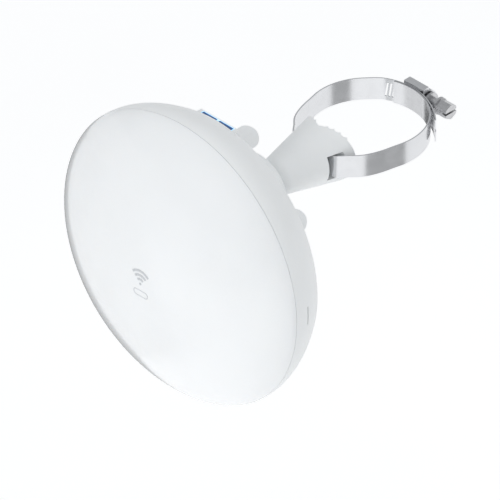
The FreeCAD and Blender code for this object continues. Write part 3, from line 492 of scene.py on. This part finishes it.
# ---------------------------------------------------------------- the dish head

@dataclass
class DishHead:
    """The radome and its printed mark, which take the place of the head's CAD radome."""

    low: Vector = field(default_factory=lambda: Vector(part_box("radome")[0]))
    high: Vector = field(default_factory=lambda: Vector(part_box("radome")[1]))
    rise: float = 29.98 * MM
    bulge: float = 1.8
    wall: float = 2.2 * MM
    rings: int = 40
    proud: float = 0.05 * MM

    def __post_init__(self) -> None:
        """Work out the dish's axis and its widest radius from the frame."""
        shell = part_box("rear_shell")
        self.middle = Vector((0.0, 0.0, (self.low.z + self.high.z) / 2))
        self.radius = (shell[1].x - shell[0].x) / 2
        self.widest = self.low.y + self.rise + 0.08 * MM
        self.rim = shell[0].y - 0.2 * MM

    def front(self, radius: float) -> float:
        """Y of the radome's outside at a radius."""
        share = max(0.0, 1 - (radius / self.radius) ** self.bulge)
        return self.widest - self.rise * share ** (1 / self.bulge)

    def radome(self) -> None:
        """Turn the radome: a smooth dome with a rolled rim and its own inside."""
        share = (self.widest - self.rim) / self.rise
        rim_radius = self.radius * (1 - share ** self.bulge) ** (1 / self.bulge)
        radii = [rim_radius * math.sin(math.pi / 2 * step / self.rings) for step in range(self.rings + 1)]
        outside = [(radius, self.front(radius)) for radius in radii]
        shrink = 1 - self.wall / self.radius
        inside = [(radius * shrink, self.front(radius) + self.wall) for radius in radii[:-3]]
        lip = [(rim_radius - 0.12 * MM, self.rim + 0.08 * MM), (rim_radius - 0.8 * MM, self.rim + 0.1 * MM),
               (rim_radius - 2.4 * MM, self.rim + 0.1 * MM)]
        piece = Piece("radome_dome")
        piece.spin(outside + lip + inside[::-1], self.middle, 256)
        piece.finish("dish_head", MATERIALS["radome_white"], "radome_white", ["radome"], 40)

    def on_dome(self, across: float, up: float) -> Vector:
        """A point a little in front of the dome's outside."""
        along = self.front(math.hypot(across, up)) - self.proud
        return Vector((self.middle.x + across, along, self.middle.z + up))

    def stroke(self, piece: Piece, line: Sequence[tuple[float, float]], width: float,
               closed: bool = False) -> None:
        """Lay a printed line on the dome.

        Args:
            piece: the mesh that gets it.
            line: points across and up.
            width: the line's width.
            closed: whether the line's ends meet.
        """
        count = len(line)
        rows = []
        for index, (across, up) in enumerate(line):
            ahead = line[(index + 1) % count] if closed or index + 1 < count else line[index]
            behind = line[index - 1] if closed or index > 0 else line[index]
            way = Vector((ahead[0] - behind[0], ahead[1] - behind[1])).normalized()
            side = Vector((-way.y, way.x)) * width / 2
            rows.append([piece.mesh.verts.new(self.on_dome(across + sign * side.x, up + sign * side.y))
                         for sign in (-1, 1)])
        for first, second in zip(rows, rows[1:] + ([rows[0]] if closed else [])):
            piece.mesh.faces.new((first[0], first[1], second[1], second[0]))

    def mark(self) -> None:
        """Print a generic signal mark with an empty label under it, on the dome's middle."""
        piece = Piece("signal_mark")
        for radius in (2.6, 5.0, 7.4):
            turns = [math.radians(45 + 90 * step / 20) for step in range(21)]
            self.stroke(piece, [(radius * MM * math.cos(turn), (radius * math.sin(turn) - 1.5) * MM)
                                for turn in turns], 1.3 * MM)
        dot_radius, dot_drop, dot_sides = 0.75, 1.6, 16
        dot = [(dot_radius * MM * math.cos(turn), (dot_radius * math.sin(turn) - dot_drop) * MM)
               for turn in (math.tau * step / dot_sides for step in range(dot_sides))]
        piece.mesh.faces.new([piece.mesh.verts.new(self.on_dome(across, up)) for across, up in dot])
        half, round_off, drop = 3.0, 1.7, -7.4
        pill = [(half + round_off * math.cos(turn), drop + round_off * math.sin(turn))
                for turn in (math.radians(-90 + 180 * step / 12) for step in range(13))]
        pill += [(-half - round_off * math.cos(turn), drop - round_off * math.sin(turn))
                 for turn in (math.radians(-90 + 180 * step / 12) for step in range(13))]
        self.stroke(piece, [(across * MM, up * MM) for across, up in pill], 0.4 * MM, True)
        item = piece.finish("dish_head", INK)
        thick = item.modifiers.new("ink", "SOLIDIFY")
        thick.thickness = 0.04 * MM
        thick.offset = 0


# ---------------------------------------------------------------- stage

@dataclass
class Studio:
    """A pale floor, soft lights and the camera."""

    target: Vector = field(default_factory=lambda: Vector((0.0469, -0.1283, 0.0121)))
    distance: float = 9.6
    lens: float = 1428.0
    floor_height: float = -0.75

    def floor(self) -> None:
        """Lay a wide pale floor well below the part."""
        mesh = bmesh.new()
        bmesh.ops.create_grid(mesh, x_segments=1, y_segments=1, size=9.0,
                              matrix=Matrix.Translation((0, 0, self.floor_height)))
        data = bpy.data.meshes.new("floor")
        mesh.to_mesh(data)
        mesh.free()
        item = bpy.data.objects.new("floor", data)
        bpy.context.scene.collection.objects.link(item)
        cloth = Cloth("pale_floor", 0.93, 0.90, 3.0, 4.0, 0.36)
        data.materials.append(cloth.build())

    def lamp(self, name: str, at: Sequence[float], size: Sequence[float], power: float) -> None:
        """Hang a soft box that looks at the target.

        Args:
            name: the lamp's name.
            at: its place from the target.
            size: its width and height.
            power: its power in watts.
        """
        light = bpy.data.lights.new(name, "AREA")
        light.shape = "RECTANGLE"
        light.size, light.size_y = size
        light.energy = power
        item = bpy.data.objects.new(name, light)
        item.location = self.target + Vector(at)
        item.rotation_euler = (-Vector(at)).to_track_quat("-Z", "Y").to_euler()
        item.visible_glossy = False
        bpy.context.scene.collection.objects.link(item)

    def card(self, name: str, corners: Sequence[tuple[float, float, float]], tone: float,
             glow: float) -> None:
        """Stand or lay a card out of the camera's sight, for the part to mirror.

        Args:
            name: the card's name.
            corners: direction in degrees from +X, distance from the target and height of each corner.
            tone: how pale the card is.
            glow: its own light.
        """
        mesh = bmesh.new()
        places = [(self.target.x + far * math.cos(math.radians(turn)),
                   self.target.y + far * math.sin(math.radians(turn)), height)
                  for turn, far, height in corners]
        mesh.faces.new([mesh.verts.new(place) for place in places])
        data = bpy.data.meshes.new(name)
        mesh.to_mesh(data)
        mesh.free()
        item = bpy.data.objects.new(name, data)
        item.visible_camera = False
        bpy.context.scene.collection.objects.link(item)
        data.materials.append(Cloth(name, tone, tone * 0.94, 8.0, 3.0, glow).build())

    def lights(self) -> None:
        """Put up the soft boxes and an even pale surround."""
        self.lamp("key", (-0.1, -1.9, 0.9), (1.3, 1.3), 14.5)
        self.lamp("fill", (1.6, -0.9, 0.5), (1.2, 1.6), 2.4)
        self.lamp("top", (0.2, 0.4, 1.9), (1.8, 1.4), 9)
        self.lamp("back", (1.3, 1.5, 0.9), (1.2, 1.0), 4)
        foot, lying, near, far = -0.74, -0.73, 0.6, 2.6
        self.card("bright_card", [(174, near, foot), (230, near, foot), (230, near, 0.1), (174, near, 0.1)],
                  0.75, 0.2)
        self.card("left_card", [(147, 0.65, lying), (147, far, lying), (173, far, lying), (173, near, lying)],
                  0.22, 0.0)
        self.card("right_card", [(-6, 0.75, lying), (-6, far, lying), (34, far, lying), (34, 0.75, lying)],
                  0.6, 0.0)
        world = bpy.data.worlds.new("surround")
        world.use_nodes = True
        world.node_tree.nodes["Background"].inputs["Color"].default_value = (0.92, 0.94, 0.96, 1)
        world.node_tree.nodes["Background"].inputs["Strength"].default_value = 0.55
        bpy.context.scene.world = world
        bpy.context.scene.view_settings.view_transform = "Standard"

    def camera(self) -> None:
        """Stand a long lens far off, so that the view is nearly parallel."""
        data = bpy.data.cameras.new("camera")
        data.lens = self.lens
        data.sensor_width = 36.0
        data.clip_end = 60.0
        item = bpy.data.objects.new("camera", data)
        back = Vector((1, -1, 1)).normalized()
        item.location = self.target + back * self.distance
        item.rotation_euler = (-back).to_track_quat("-Z", "Y").to_euler()
        bpy.context.scene.collection.objects.link(item)
        bpy.context.scene.camera = item


def dress_frame() -> None:
    """Give every CAD piece the finish of its slot."""
    slots = {row["node"]: row["material_slot"] for row in frame["record"]["subparts"]}
    for node, item in frame["nodes"].items():
        item.data.materials.clear()
        item.data.materials.append(MATERIALS[slots[node]])
        for polygon in item.data.polygons:
            polygon.material_index = 0


def main() -> None:
    """Build the stage and the pieces."""
    logging.basicConfig(level=logging.INFO, format="%(name)s %(message)s")
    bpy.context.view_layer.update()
    studio = Studio()
    studio.camera()
    studio.floor()
    studio.lights()
    dress_frame()
    head = DishHead()
    head.radome()
    head.mark()


if __name__ == "__main__":
    main()
